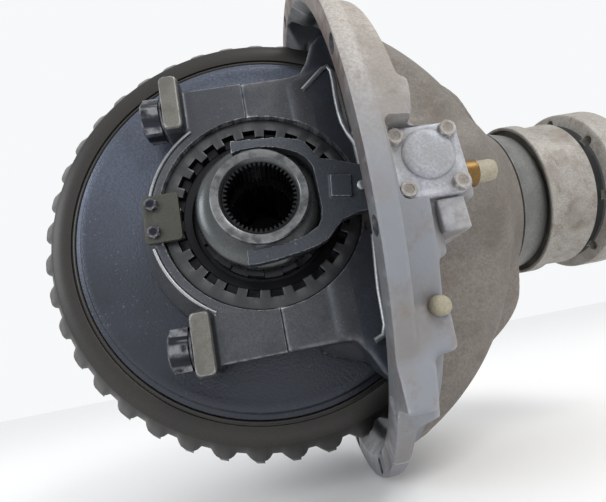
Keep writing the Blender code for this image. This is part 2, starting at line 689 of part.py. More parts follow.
def make_shift_cover(looks):
    """Cover of the shift cylinder, with a low round dome and four bolts."""
    centre = (ROD_X - 1 * MM, ROD_Z - 1.5 * MM)
    face = TOWER_FACE + GAP
    top = face + 7 * MM
    spots = [(centre[0] + sx * 18.5 * MM, centre[1] + sz * 19.3 * MM)
             for sx, sz in ((1, 1), (-1, 1), (-1, -1), (1, -1))]
    cover = prism("shift_cover", looks["carrier"], rounded_square(26 * MM, 8 * MM, centre),
                  face, top, ORIGIN, NEAR)
    dome = turned("cover_dome", looks["carrier"], [
        (face + 2 * MM, 0), (face + 2 * MM, 18 * MM), (top + 2.5 * MM, 17 * MM),
        (top + 2.5 * MM, 0)], 24, (ROD_X, 0, ROD_Z), NEAR)
    holes = drills("cover_holes", looks["carrier"], spots, 4.4 * MM, face - 3 * MM,
                   top + 5 * MM, ORIGIN, NEAR, 8)
    join(cover, dome)
    cut(cover, holes)
    head = top + GAP
    for number, (x, z) in enumerate(spots, 1):
        turned("cover_bolt_%d" % number, looks["bolt"], [
            (face - 12 * MM, 0), (face - 12 * MM, 4 * MM), (head, 4 * MM),
            (head, 6 * MM, "hex"), (head + 5 * MM, 6 * MM, "hex"), (head + 5 * MM, 0)],
            6, (x, 0, z), NEAR)
    return spots


def make_switch_plug(looks):
    """Brass switch screwed into the tower's front side."""
    start = TOWER_FRONT_X
    turned("switch_plug", looks["brass"], [
        (start - 9 * MM, 0), (start - 9 * MM, 7.7 * MM), (start + GAP, 7.7 * MM),
        (start + GAP, 12 * MM, "hex"), (start + 22 * MM, 12 * MM, "hex"),
        (start + 22 * MM, 9 * MM), (start + 38 * MM, 9 * MM), (start + 38 * MM, 0)],
        12, (0, -PLUG_Y, PLUG_Z), FRONT)


# ---------------------------------------------------------------------- carrier
def pedestal_outline(reach):
    """Outline of a bearing pedestal from the split plane forward into the casting."""
    upper = [(GAP, 127), (40, 127), (60, 145), (66, 165)] + reach
    outline = [(x * MM if x > 1 else GAP, z * MM) for x, z in upper]
    return outline + [(x, -z) for x, z in reversed(outline)]


def carrier_shell(looks):
    """Outside of the casting: flange, drum, crown housing, dome, nose and shift tower."""
    look = looks["carrier"]
    carrier = turned("carrier_housing", look, [
        (FLANGE_X, 0), (FLANGE_X, FLANGE_R), (FLANGE_X + FLANGE_THICKNESS, FLANGE_R),
        (FLANGE_X + FLANGE_THICKNESS, 240 * MM), (DRUM_FRONT_X, 236 * MM), (DRUM_FRONT_X, 0)],
        40, ORIGIN, FRONT)
    dome = turned("dome", look, [
        (100 * MM, 0), (100 * MM, 222 * MM), (130 * MM, 206 * MM), (165 * MM, 186 * MM),
        (205 * MM, 162 * MM), (228 * MM, 146 * MM), (242 * MM, 130 * MM), (250 * MM, 108 * MM),
        (256 * MM, 92 * MM), (NOSE_FACE_X, 86 * MM), (NOSE_FACE_X, 0)], 36, ORIGIN, FRONT)
    near_half = block("near_half", look, (90 * MM, -300 * MM, -300 * MM),
                      (300 * MM, -60 * MM, 300 * MM))
    cut(dome, near_half)
    crown_housing = turned("crown_housing", look, [
        (22 * MM, 0), (22 * MM, 244 * MM), (84 * MM, 244 * MM), (100 * MM, 224 * MM),
        (100 * MM, 0)], 40, ORIGIN, NEAR)
    rear_half = block("rear_half", look, (-300 * MM, -300 * MM, -300 * MM),
                      (FLANGE_X + 10 * MM, 300 * MM, 300 * MM))
    cut(crown_housing, rear_half)
    nose = turned("nose", look, [
        (150 * MM, 0), (150 * MM, 125 * MM), (222 * MM, 120 * MM), (240 * MM, 104 * MM),
        (252 * MM, 91 * MM), (NOSE_FACE_X, 86 * MM), (NOSE_FACE_X, 0)], 32, ORIGIN, FRONT)
    tower = prism("tower", look, [
        (80 * MM, -45 * MM), (TOWER_FRONT_X, -45 * MM), (TOWER_FRONT_X, 12 * MM),
        (80 * MM, 12 * MM)], 95 * MM, TOWER_FACE, ORIGIN, NEAR)
    lug = prism("lug", look, [
        (116 * MM, -71 * MM), (133 * MM, -71 * MM), (133 * MM, -40 * MM), (116 * MM, -40 * MM)],
        95 * MM, TOWER_FACE + 4 * MM, ORIGIN, NEAR)
    upper_pad = prism("upper_pad", look, [
        (70 * MM, 11 * MM), (111 * MM, 11 * MM), (115 * MM, 40 * MM), (70 * MM, 46 * MM)],
        190 * MM, 232 * MM, ORIGIN, NEAR)
    lower_pad = prism("lower_pad", look, [
        (70 * MM, -144 * MM), (103 * MM, -142 * MM), (106 * MM, -116 * MM), (70 * MM, -110 * MM)],
        150 * MM, 212 * MM, ORIGIN, NEAR)
    return join(carrier, dome, crown_housing, nose, tower, lug, upper_pad, lower_pad)


def carrier_hollows(looks):
    """Insides of the casting: rear pocket, crown space, dome, and the fork's passage."""
    look = looks["carrier"]
    pocket = turned("pocket", look, [
        (50 * MM, 0), (50 * MM, POCKET_R), (POCKET_FLOOR_X, POCKET_R), (POCKET_FLOOR_X, 0)],
        40, ORIGIN, FRONT)
    crown_space = turned("crown_space", look, [
        (15 * MM, 0), (15 * MM, 237 * MM), (82 * MM, 237 * MM), (92 * MM, 224 * MM),
        (92 * MM, 0)],
        40, ORIGIN, NEAR)
    dome_space = turned("dome_space", look, [
        (55 * MM, 0), (55 * MM, 212 * MM), (100 * MM, 207 * MM), (165 * MM, 172 * MM),
        (205 * MM, 147 * MM), (224 * MM, 124 * MM), (224 * MM, 0)], 36, ORIGIN, FRONT)
    near_part = block("near_part", look, (0, -300 * MM, -300 * MM), (300 * MM, -20 * MM, 300 * MM))
    cut(dome_space, near_part)
    passage = prism("passage", look, [
        (85 * MM, -37 * MM), (139.5 * MM, -37 * MM), (139.5 * MM, 8 * MM), (108 * MM, 24 * MM),
        (85 * MM, 24 * MM)], 110 * MM, 156 * MM, ORIGIN, NEAR)
    return pocket, crown_space, dome_space, passage


def carrier_bores(looks, cover_spots):
    """Machined holes: bearing bores, pinion bore, cylinder, and every bolt hole."""
    look = looks["carrier"]
    rod = [(ROD_X, ROD_Z)]
    recess = [(88 * MM, -46 * MM), (155 * MM, -46 * MM), (155 * MM, 11 * MM), (88 * MM, 11 * MM)]
    return [
        prism("cover_recess", look, recess, TOWER_FACE, 262 * MM, ORIGIN, NEAR),
        bearing_bore(look, NEAR),
        bearing_bore(look, FAR),
        drills("pinion_bore", look, [(0, 0)], 75 * MM, 200 * MM, 270 * MM, ORIGIN, FRONT,
               PINION_SIDES),
        drills("cylinder", look, rod, 18.4 * MM, 176 * MM, 220 * MM, ORIGIN, NEAR, 24),
        drills("rod_hole", look, rod, 9.4 * MM, 87 * MM, 190 * MM, ORIGIN, NEAR, 24),
        drills("cover_threads", look, cover_spots, 4.4 * MM, TOWER_FACE - 14 * MM,
               TOWER_FACE + 5 * MM, ORIGIN, NEAR, 8),
        drills("plug_thread", look, [(-PLUG_Z, -PLUG_Y)], 8 * MM, TOWER_FRONT_X - 10 * MM,
               TOWER_FRONT_X + 5 * MM, ORIGIN, FRONT, 12),
        drills("cap_threads_near", look, [(CAP_BOLT_Z, -CAP_BOLT_Y), (-CAP_BOLT_Z, -CAP_BOLT_Y)],
               12.1 * MM, -55 * MM, 5 * MM, ORIGIN, BACK, 12),
        drills("cap_threads_far", look, [(CAP_BOLT_Z, CAP_BOLT_Y), (-CAP_BOLT_Z, CAP_BOLT_Y)],
               12.1 * MM, -55 * MM, 5 * MM, ORIGIN, BACK, 12),
        drills("flange_holes", look, circle_spots(249 * MM, 12, math.pi / 12), 7 * MM,
               50 * MM, 100 * MM, ORIGIN, FRONT, 6),
    ]


def make_carrier(looks, cover_spots):
    carrier = carrier_shell(looks)
    cut(carrier, *carrier_hollows(looks))
    near_reach = [(100, 165), (104, 100), (140, 60)]
    far_reach = [(108, 173), (150, 140)]
    near = prism("near_pedestal", looks["cast"], pedestal_outline(near_reach),
                 BORE_IN, BORE_OUT, ORIGIN, NEAR)
    far = prism("far_pedestal", looks["cast"], pedestal_outline(far_reach),
                BORE_IN, BORE_OUT, ORIGIN, FAR)
    join(carrier, near, far)
    cut(carrier, *carrier_bores(looks, cover_spots))
    return carrier


clear_scene()
CENTRE = add_centre()
LOOKS = make_looks()
make_crown_wheel(LOOKS)
make_drive_pinion(LOOKS)
make_pinion_bearings(LOOKS)
make_pinion_cage(LOOKS)
make_companion_flange(LOOKS)
make_case(LOOKS)
make_cross(LOOKS)
make_side_gears(LOOKS)
make_spider_gears(LOOKS)
make_case_bearings(LOOKS)
make_adjusters(LOOKS)
make_bearing_caps(LOOKS)
make_lock_plates(LOOKS)
make_lock_sleeve(LOOKS)
make_shift_fork(LOOKS)
make_return_spring(LOOKS)
COVER_SPOTS = make_shift_cover(LOOKS)
make_switch_plug(LOOKS)
make_carrier(LOOKS, COVER_SPOTS)
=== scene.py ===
"""Looks for the truck differential head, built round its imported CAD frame.

Shapes are drawn in millimetres about the gear centre, where the crown wheel's axis (Y)
crosses the pinion's axis (X), and placed in the row frame by shape().
"""
import math

import bmesh
import bpy
from mathutils import Euler, Matrix, Vector


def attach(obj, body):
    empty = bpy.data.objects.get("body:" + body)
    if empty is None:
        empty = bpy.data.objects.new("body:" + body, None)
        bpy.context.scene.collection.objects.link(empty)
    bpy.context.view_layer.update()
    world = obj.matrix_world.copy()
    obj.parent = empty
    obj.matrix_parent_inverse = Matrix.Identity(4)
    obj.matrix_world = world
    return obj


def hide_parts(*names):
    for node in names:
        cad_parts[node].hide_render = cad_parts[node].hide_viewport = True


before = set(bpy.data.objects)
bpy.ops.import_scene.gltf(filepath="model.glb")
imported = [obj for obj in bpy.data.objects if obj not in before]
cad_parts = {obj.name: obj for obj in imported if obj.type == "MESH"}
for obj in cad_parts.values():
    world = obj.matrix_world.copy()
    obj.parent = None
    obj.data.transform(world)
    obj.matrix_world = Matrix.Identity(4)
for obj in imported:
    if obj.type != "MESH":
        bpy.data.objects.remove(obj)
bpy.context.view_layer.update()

MM = 0.001
CENTRE = Vector((-64.5, 0, 0))
NEAR = Euler((math.pi / 2, 0, 0))
FAR = Euler((-math.pi / 2, 0, 0))
FRONT = Euler((0, math.pi / 2, 0))
BACK = Euler((0, -math.pi / 2, 0))
UP = Euler((0, 0, 0))
# The last value is the side's sign: a near piece's second drawing axis is +Z, a far one's -Z.
SIDES = (("near", NEAR, 1), ("far", FAR, -1))

CROWN_TEETH = 41
PINION_TEETH = 8
CAP_SCREW_Y = 110
CAP_SCREW_Z = 108.5
BEARING_BORE = 90
CROSS_PIN = 14.3
CASE_BOLT = 7.4
SHIFT_ROD = (118.5, -14.5)
LOCK_SCREWS = [(-93.5, 17), (-93.5, -8)]
COVER_SPOTS = [(133, -1.7), (96, -1.7), (96, -40.3), (133, -40.3)]
FLANGE_HOLES = (249, 12, math.pi / 12)
FLANGE_HOLE = 7
KNOB = (101, -117)
FLOOR_Z = -0.2595
LENS_MM = 25.5297


# ------------------------------------------------------------------ shapes
def shape(name, bm, turn=UP, at=(0, 0, 0)):
    """Put a bmesh drawn in millimetres into the row frame, turned about the gear centre."""
    bmesh.ops.recalc_face_normals(bm, faces=bm.faces)
    place = Matrix.Scale(MM, 4) @ Matrix.Translation(CENTRE + Vector(at)) @ turn.to_matrix().to_4x4()
    bm.transform(place)
    mesh = bpy.data.meshes.new(name)
    bm.to_mesh(mesh)
    bm.free()
    piece = bpy.data.objects.new(name, mesh)
    bpy.context.scene.collection.objects.link(piece)
    return piece


def bridge(bm, rings, looped):
    """Join each ring of points to the next with faces, and the last to the first if looped."""
    pairs = list(zip(rings, rings[1:]))
    if looped:
        pairs.append((rings[-1], rings[0]))
    for ring, following in pairs:
        for i in range(len(ring)):
            j = (i + 1) % len(ring)
            corners = []
            for corner in (ring[i], ring[j], following[j], following[i]):
                if corner not in corners:
                    corners.append(corner)
            if len(corners) > 2:
                bm.faces.new(corners)


def lathe(name, profile, steps=128, turn=UP, at=(0, 0, 0)):
    """Turn a closed (along, radius) profile; a third entry makes that ring hexagonal."""
    bm = bmesh.new()
    rings = []
    for along, radius, *form in profile:
        if radius == 0:
            rings.append([bm.verts.new((0, 0, along))] * steps)
            continue
        ring = []
        for i in range(steps):
            angle = math.tau * i / steps
            reach = radius
            if form:
                sector = math.radians(60)
                reach = radius / math.cos((angle + sector / 2) % sector - sector / 2)
            ring.append(bm.verts.new((reach * math.cos(angle), reach * math.sin(angle), along)))
        rings.append(ring)
    bridge(bm, rings, profile[0][1] > 0)
    return shape(name, bm, turn, at)


def prism(bm, rings):
    """A closed solid through open rings of points."""
    bridge(bm, rings, False)
    bm.faces.new(rings[0])
    bm.faces.new(rings[-1])


def tapered(name, low_outline, high_outline, start, end, turn=UP):
    """A slab whose two ends have different outlines of the same number of points."""
    bm = bmesh.new()
    prism(bm, [[bm.verts.new((x, y, z)) for x, y in outline]
               for outline, z in ((low_outline, start), (high_outline, end))])
    return shape(name, bm, turn)


def slab(name, outline, start, end, turn=UP):
    return tapered(name, outline, outline, start, end, turn)


def box(name, low, high):
    outline = [(low[0], low[1]), (high[0], low[1]), (high[0], high[1]), (low[0], high[1])]
    return slab(name, outline, low[2], high[2])


def wedges(name, count, width, radii, heights, phase=0.0, turn=UP):
    """Sector-shaped blocks, evenly spaced round the axis; width is an angle."""
    bm = bmesh.new()
    for k in range(count):
        middle = phase + math.tau * k / count
        corners = [(radii[0], middle - width / 2), (radii[1], middle - width / 2),
                   (radii[1], middle + width / 2), (radii[0], middle + width / 2)]
        prism(bm, [[bm.verts.new((r * math.cos(a), r * math.sin(a), z)) for r, a in corners]
                   for z in heights])
    return shape(name, bm, turn)


def bars(name, spots, radius, start, end, turn=UP, sides=48):
    """Round bars of one radius, one at each spot."""
    bm = bmesh.new()
    for x, y in spots:
        prism(bm, [[bm.verts.new((x + radius * math.cos(math.tau * i / sides),
                                  y + radius * math.sin(math.tau * i / sides), z))
                    for i in range(sides)] for z in (start, end)])
    return shape(name, bm, turn)


def circle_spots(radius, count, phase=0.0):
    return [(radius * math.cos(phase + math.tau * k / count),
             radius * math.sin(phase + math.tau * k / count)) for k in range(count)]


def arc(radius, start, end, count, centre=(0, 0)):
    """Points along an arc between two angles in degrees."""
    points = []
    for k in range(count + 1):
        angle = math.radians(start + (end - start) * k / count)
        points.append((centre[0] + radius * math.cos(angle), centre[1] + radius * math.sin(angle)))
    return points


def rounded_box_outline(x0, x1, y0, y1, radius, steps=5):
    outline = []
    for quarter, (cx, cy) in enumerate(((x1 - radius, y1 - radius), (x0 + radius, y1 - radius),
                                        (x0 + radius, y0 + radius), (x1 - radius, y0 + radius))):
        outline += arc(radius, 90 * quarter, 90 * quarter + 90, steps, (cx, cy))
    return outline


def rib(name, points, radius, depth, turn, sides=16):
    """A round bead along (x, y) points at one depth."""
    bm = bmesh.new()
    rings = []
    for i, (x, y) in enumerate(points):
        after, before = (Vector(points[k]) for k in (min(i + 1, len(points) - 1), max(i - 1, 0)))
        along = (after - before).normalized()
        rings.append([])
        for angle in (math.tau * k / sides for k in range(sides)):
            side = radius * math.cos(angle)
            rings[-1].append(bm.verts.new((x - along.y * side, y + along.x * side,
                                           depth + radius * math.sin(angle))))
    prism(bm, rings)
    return shape(name, bm, turn)


def settle(piece):
    """Apply a piece's modifiers to its mesh."""
    graph = bpy.context.evaluated_depsgraph_get()
    done = bpy.data.meshes.new_from_object(piece.evaluated_get(graph))
    piece.modifiers.clear()
    piece.data = done
    return piece


def combine(piece, others, operation, solver):
    """Cut or join other pieces one after another, and delete them."""
    for other in others:
        step = piece.modifiers.new(other.name, "BOOLEAN")
        step.operation = operation
        step.object = other
        step.solver = solver
    settle(piece)
    for other in others:
        bpy.data.objects.remove(other)
    return piece


def cut(piece, *others, solver="EXACT"):
    return combine(piece, others, "DIFFERENCE", solver)


def join(piece, *others, solver="EXACT"):
    return combine(piece, others, "UNION", solver)


def soften(piece, width, segments=2, limit=30):
    """Round a machined piece's edges, then shade it smooth."""
    bevel = piece.modifiers.new("edges", "BEVEL")
    bevel.width = width * MM
    bevel.segments = segments
    bevel.limit_method = "ANGLE"
    bevel.angle_limit = math.radians(limit)
    settle(piece)
    return smooth(piece, 40)


def smooth(piece, angle=35):
    piece.data.shade_smooth()
    piece.data.set_sharp_from_angle(angle=math.radians(angle))
    return piece


def cast(piece, voxel, rounds, strength=0.5):
    """Remesh a casting and relax it, so that its corners take a foundry's radii."""
    remesh = piece.modifiers.new("remesh", "REMESH")
    remesh.mode = "VOXEL"
    remesh.voxel_size = voxel * MM
    relax = piece.modifiers.new("relax", "SMOOTH")
    relax.factor = strength
    relax.iterations = rounds
    return settle(piece)


# --------------------------------------------------------------- materials
def linear(red, green, blue):
    return tuple(((c / 255) / 12.92 if c / 255 <= 0.04045 else ((c / 255 + 0.055) / 1.055) ** 2.4)
                 for c in (red, green, blue))


def metal(name, colour, dirt_colour, dirt=0.35, metallic=0.6, rough=(0.35, 0.6), grain_mm=1.2,
          bump=0.25, specks=0.0, wear=0.0, painted_crevice_shade=0.5, patch_mm=45, stain=None, painted_bottom_tone=None):
    """Metal with patchy dirt, foundry or machining grain, pale specks, worn edges, painted shade in
    its creases and, if given, a painted light-and-shade gradient by height.
    """
    look = bpy.data.materials.new(name)
    look.use_nodes = True
    tree = look.node_tree
    nodes = tree.nodes
    shader = nodes["Principled BSDF"]

    def link(source, target):
        tree.links.new(source, target)

    def noise(feature_mm, detail, rough_amount=0.6):
        texture = nodes.new("ShaderNodeTexNoise")
        texture.inputs["Scale"].default_value = 1000 / feature_mm
        texture.inputs["Detail"].default_value = detail
        texture.inputs["Roughness"].default_value = rough_amount
        link(position, texture.inputs["Vector"])
        return texture.outputs["Fac"]

    def ramp(source, low, high):
        scale = nodes.new("ShaderNodeMapRange")
        scale.inputs["From Min"].default_value = low
        scale.inputs["From Max"].default_value = high
        scale.interpolation_type = "SMOOTHSTEP"
        link(source, scale.inputs["Value"])
        return scale.outputs["Result"]

    def times(source, amount):
        product = nodes.new("ShaderNodeMath")
        product.operation = "MULTIPLY"
        link(source, product.inputs[0])
        if isinstance(amount, float):
            product.inputs[1].default_value = amount
        else:
            link(amount, product.inputs[1])
        return product.outputs[0]

    def mix(factor, first, second):
        blend = nodes.new("ShaderNodeMix")
        blend.data_type = "RGBA"
        for value, socket in ((first, blend.inputs[6]), (second, blend.inputs[7])):
            if isinstance(value, tuple):
                socket.default_value = (*value, 1)
            else:
                link(value, socket)
        link(factor, blend.inputs[0])
        return blend.outputs[2]

    position = nodes.new("ShaderNodeTexCoord").outputs["Object"]
    base = linear(*colour)
    soiled = linear(*dirt_colour)
    grain = noise(grain_mm, 3)
    patches = noise(patch_mm, 6, 0.65)
    shade = mix(ramp(grain, 0.3, 0.7), tuple(c * 0.8 for c in base), tuple(c * 1.16 for c in base))
    # Painted light and shade: the colour changes with height, towards the bottom tone lower down.
    if painted_bottom_tone:
        height = nodes.new("ShaderNodeSeparateXYZ")
        link(position, height.inputs[0])
        shade = mix(ramp(height.outputs[2], 0.09, -0.06), shade, linear(*painted_bottom_tone))
    tone = mix(times(ramp(patches, 0.45, 0.62), float(dirt)), shade, soiled)
    if stain:
        rust = noise(patch_mm * 0.37, 7, 0.7)
        tone = mix(times(ramp(rust, 0.53, 0.66), float(stain[1])), tone, linear(*stain[0]))
    edges = nodes.new("ShaderNodeNewGeometry").outputs["Pointiness"]
    # Painted shade: concave spots, where pointiness is low, darken towards a quarter of the base
    # colour.
    if painted_crevice_shade:
        tone = mix(times(ramp(edges, 0.5, 0.42), float(painted_crevice_shade)), tone, tuple(c * 0.25 for c in base))
    if wear:
        rubbed = times(ramp(edges, 0.515, 0.58), ramp(noise(9, 4), 0.3, 0.6))
        tone = mix(times(rubbed, float(wear)), tone, linear(196, 196, 200))
    if specks:
        dots = times(ramp(noise(2.6, 1), 0.69, 0.74), ramp(noise(60, 3), 0.4, 0.65))
        tone = mix(times(dots, float(specks)), tone, linear(190, 194, 200))
    link(tone, shader.inputs["Base Color"])
    sheen = nodes.new("ShaderNodeMapRange")
    sheen.inputs["To Min"].default_value = rough[0]
    sheen.inputs["To Max"].default_value = rough[1]
    sheen.inputs["From Min"].default_value = 0.3
    sheen.inputs["From Max"].default_value = 0.7
    link(noise(patch_mm * 0.5, 5), sheen.inputs["Value"])
    link(sheen.outputs["Result"], shader.inputs["Roughness"])
    shader.inputs["Metallic"].default_value = metallic
    relief = nodes.new("ShaderNodeBump")
    relief.inputs["Strength"].default_value = bump
    relief.inputs["Distance"].default_value = 0.0006
    link(grain, relief.inputs["Height"])
    link(relief.outputs["Normal"], shader.inputs["Normal"])
    look.diffuse_color = (*base, 1)
    return look


CAST = metal("grey_casting", (74, 76, 80), (52, 55, 62), 0.6, 0.6, (0.32, 0.5), 1.5, 0.3,
             specks=0.2, wear=0.8, patch_mm=70)
# Painted light and shade: lighter and warmer on top, greyer and darker towards the bottom, with
# painted shade in its creases.
OUTSIDE = metal("weathered_casting", (158, 152, 146), (126, 118, 110), 0.5, 0.1, (0.55, 0.8), 2.0,
                0.3, wear=0.35, painted_crevice_shade=0.35, patch_mm=60, stain=((112, 94, 78), 0.35),
                painted_bottom_tone=(122, 125, 131))
DOME = metal("dome_casting", (112, 106, 100), (90, 84, 78), 0.5, 0.15, (0.5, 0.75), 2.2, 0.3,
             painted_crevice_shade=0.12, patch_mm=90, stain=((94, 80, 66), 0.3))
# Painted light and shade: greyer towards the bottom.
RIM = metal("flange_joint_face", (112, 100, 94), (84, 62, 54), 0.5, 0.4, (0.35, 0.6), 1.4, 0.3,
            painted_crevice_shade=0.2, patch_mm=50, painted_bottom_tone=(122, 124, 128))
POCKET = metal("oiled_casting", (54, 58, 66), (38, 39, 43), 0.6, 0.4, (0.3, 0.5), 1.6, 0.3,
               wear=0.3, patch_mm=50)
PLATE = metal("soiled_plate", (64, 64, 58), (48, 46, 42), 0.5, 0.4, (0.35, 0.55), 1.4, 0.25,
              painted_crevice_shade=0.0)
NOSE = metal("nose_casting", (112, 112, 110), (84, 84, 82), 0.5, 0.25, (0.4, 0.6), 1.8, 0.2,
             painted_crevice_shade=0.2, patch_mm=50)
# A lighter copy of the cap casting, used as a painted highlight on the pad tips.
PAD_HIGHLIGHT = metal("pad_tip_highlight", (104, 102, 96), (80, 78, 74), 0.6, 0.4, (0.4, 0.6), 1.5, 0.3, wear=0.8,
            patch_mm=24)
# Painted shade: the disc darkens towards the bottom.
CASE = metal("blue_grey_casting", (80, 86, 99), (58, 62, 72), 0.4, 0.6, (0.3, 0.42), 2.4, 0.8,
             specks=0.12, painted_crevice_shade=0.2, patch_mm=110, painted_bottom_tone=(50, 53, 60))
GEAR = metal("gear_steel", (46, 44, 42), (38, 38, 39), 0.3, 0.4, (0.34, 0.4), 1.0, 0.06,
             painted_crevice_shade=0.0, patch_mm=160)
RING = metal("turned_steel", (66, 67, 68), (52, 54, 58), 0.4, 0.75, (0.28, 0.42), 1.0, 0.12,
             wear=0.5)
SLEEVE = metal("sleeve_steel", (86, 88, 88), (70, 72, 74), 0.35, 0.9, (0.22, 0.36), 1.2, 0.08,
               wear=0.4)
FORK = metal("fork_casting", (72, 76, 82), (56, 60, 68), 0.4, 0.6, (0.32, 0.5), 1.5, 0.3,
             wear=0.9, specks=0.15)
BOLT = metal("dark_bolt", (34, 37, 45), (26, 28, 33), 0.4, 0.7, (0.3, 0.48), 1.0, 0.12, wear=0.35,
             patch_mm=80)
COVER = metal("cover_casting", (150, 153, 160), (132, 130, 128), 0.5, 0.2, (0.45, 0.7), 1.8, 0.25,
              wear=0.6, painted_crevice_shade=0.4, patch_mm=50)
PALE_BOLT = metal("soiled_bolt", (140, 134, 128), (110, 98, 88), 0.5, 0.3, (0.45, 0.75), 1.2, 0.3,
                  wear=0.5)
FLANGE = metal("soiled_flange", (148, 144, 138), (122, 114, 106), 0.6, 0.25, (0.45, 0.75), 1.6,
               0.3, patch_mm=40, stain=((100, 84, 68), 0.4))
OILED = metal("oiled_steel", (32, 33, 36), (22, 22, 24), 0.5, 0.7, (0.25, 0.4), 1.0, 0.1)
BRASS = metal("dull_brass", (116, 90, 50), (80, 64, 42), 0.6, 0.8, (0.32, 0.5), 1.0, 0.2)
PALE = metal("pale_cap", (162, 156, 136), (128, 120, 102), 0.5, 0.1, (0.5, 0.7), 1.4, 0.2)
# Worn edges on the fork, and a painted highlight along the bearing caps' lips and the housing's
# ridges.
WEAR_AND_HIGHLIGHT = metal("worn_edge_and_highlight", (150, 152, 154), (112, 114, 118), 0.6, 0.7, (0.3, 0.45), 1.2, 0.2)
RUBBER = metal("seal_rubber", (26, 26, 27), (40, 38, 36), 0.4, 0.0, (0.6, 0.8), 1.0, 0.2, painted_crevice_shade=0)


def finish(piece, body, slot, look, *nodes):
    """Give a piece its look and its body, and hide the CAD nodes that it stands for; its slot is not
    used.
    """
    piece.data.materials.clear()
    piece.data.materials.append(look)
    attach(piece, body)
    if nodes:
        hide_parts(*nodes)
    return piece


def touch(piece, look, test):
    """Give one look to the faces whose centre (in mm about the gear centre) passes a test."""
    piece.data.materials.append(look)
    number = len(piece.data.materials) - 1
    for face in piece.data.polygons:
        if test(face.center / MM - CENTRE, face.normal):
            face.material_index = number
    return piece


# ----------------------------------------------------------------- crown wheel
def involute(angle):
    return math.tan(angle) - angle


def cone_outline(teeth, cone, distance, shift, addendum, dedendum, points, backlash=0.5):
    """Tooth outline round a bevel gear, as (angle from axis, angle round it)."""
    pressure = math.radians(22.5)
    module = 2 * distance * math.sin(cone) / teeth
    flat_teeth = teeth / math.cos(cone)
    pitch_r = distance * math.tan(cone)
    base_r = pitch_r * math.cos(pressure)
    thickness = module * (math.pi / 2 + 2 * shift * math.tan(pressure)) - backlash
    half = thickness / (flat_teeth * module) + involute(pressure)
    side = []
    for k in range(points):
        radius = pitch_r + module * (-dedendum + (addendum + dedendum) * k / (points - 1))
        side.append((radius, half - involute(math.acos(min(1, base_r / radius)))))
    outline = []
    for k in range(teeth):
        middle = math.tau * k / teeth
        for radius, width in [(r, -w) for r, w in side] + [(r, w) for r, w in reversed(side)]:
            outline.append((cone + (radius - pitch_r) / distance, middle + width / math.cos(cone)))
    return outline


def bevel_gear(name, outline, reaches, heel, body, twist, spans, turn, phase):
    """Teeth between two cone distances; the last ring of the body follows their inner ends.

    The tooth gaps stop short of the outer distance, and heel gives the (along, radius) of the
    teeth's outer ends at their tips and in the gaps.
    """
    bm = bmesh.new()
    inner, outer = reaches
    root = min(polar for polar, _ in outline)
    tip = max(polar for polar, _ in outline)
    depths = [(tip - polar) / (tip - root) for polar, _ in outline]
    rings = []
    for k in range(spans + 1):
        ring = []
        for (polar, azimuth), depth in zip(outline, depths):
            reach = inner + (outer - 14 * depth - inner) * k / spans
            turned = azimuth + phase + twist * math.log(reach / outer)
            ring.append(bm.verts.new((reach * math.sin(polar) * math.cos(turned),
                                      reach * math.sin(polar) * math.sin(turned),
                                      reach * math.cos(polar))))
        rings.append(ring)
    ring = []
    for (_, azimuth), depth in zip(outline, depths):
        along, radius = (a + (b - a) * depth ** 2 for a, b in zip(*heel))
        ring.append(bm.verts.new((radius * math.cos(azimuth + phase),
                                  radius * math.sin(azimuth + phase), along)))
    rings.append(ring)
    for number, (along, radius) in enumerate(body):
        turned = phase + (twist * math.log(inner / outer) if number == len(body) - 1 else 0)
        rings.append([bm.verts.new((radius * math.cos(azimuth + turned),
                                    radius * math.sin(azimuth + turned), along))
                      for _, azimuth in outline])
    bridge(bm, rings, True)
    return shape(name, bm, turn)


def make_crown_wheel():
    pitch_radius = 226
    cone = math.atan2(CROWN_TEETH, PINION_TEETH)
    distance = pitch_radius / math.sin(cone)
    outline = cone_outline(CROWN_TEETH, cone, distance, -0.45, 0.55, 1.35, 4)
    body = [(74.7, 206.2), (75.6, 204.8), (75.6, 189.2), (75.2, 188.6),
            (73.4, 188.2), (73.4, 186.8), (75.2, 186.4), (75.6, 185.8), (75.6, 184.8),
            (75.0, 184.1), (59.7, 184), (59.7, 150)]
    heel = ((59, 220.5), (62.5, 213.5))
    crown = bevel_gear("crown_gear", outline, (distance - 62, distance), heel, body,
                       math.tan(math.radians(33)), 12, NEAR, math.pi / CROWN_TEETH)
    finish(smooth(crown, 38), "case", "gear", GEAR, "crown_wheel")


# ------------------------------------------------------------------ case
def dog_notches(name, start, end, phase):
    return wedges(name, 12, math.radians(16), (41, 64), (start, end), phase, NEAR)


def cross_bores():
    """The two crossed bores that take the arms of the spider pin."""
    return [bars("cross_bore", [(0, 0)], CROSS_PIN, -130, 130, turn) for turn in (FRONT, UP)]


def make_case():
    spots = circle_spots(103.5, 4, math.pi / 4)
    near_half = lathe("case_near", [
        (0.15, 92), (0.15, 115), (60, 115), (60, 183.2), (75.6, 183.2), (76.4, 182.4),
        (77, 178.6), (78, 177.4), (80.8, 177), (82, 175.8), (82, 171), (81.2, 168.5),
        (79.8, 160), (79.2, 140), (79.6, 112), (81, 92), (82, 84), (82, 60), (118, 60),
        (118, 42.3), (62, 42.3), (62, 92)], 160, NEAR)
    cut(near_half, *cross_bores(), bars("near_bolts", spots, CASE_BOLT, -1, 42, NEAR, 24),
        dog_notches("dogs", 109, 120, 0))
    finish(soften(near_half, 0.7), "case", "case", CASE, "case_flange_half")
    touch(near_half, OILED, lambda spot, _: math.hypot(spot.x, spot.z) < 62 and spot.y < -100)
    far_half = lathe("case_far", [
        (0.15, 92), (0.15, 115), (66, 115), (68, 112), (68, 92), (82, 86), (82, 60), (108, 60),
        (108, 42.3), (62, 42.3), (62, 92)], 160, FAR)
    cut(far_half, *cross_bores(), bars("far_bolts", spots, CASE_BOLT, -1, 75, FAR, 24))
    finish(soften(far_half, 0.7), "case", "case", CASE, "case_plain_half")


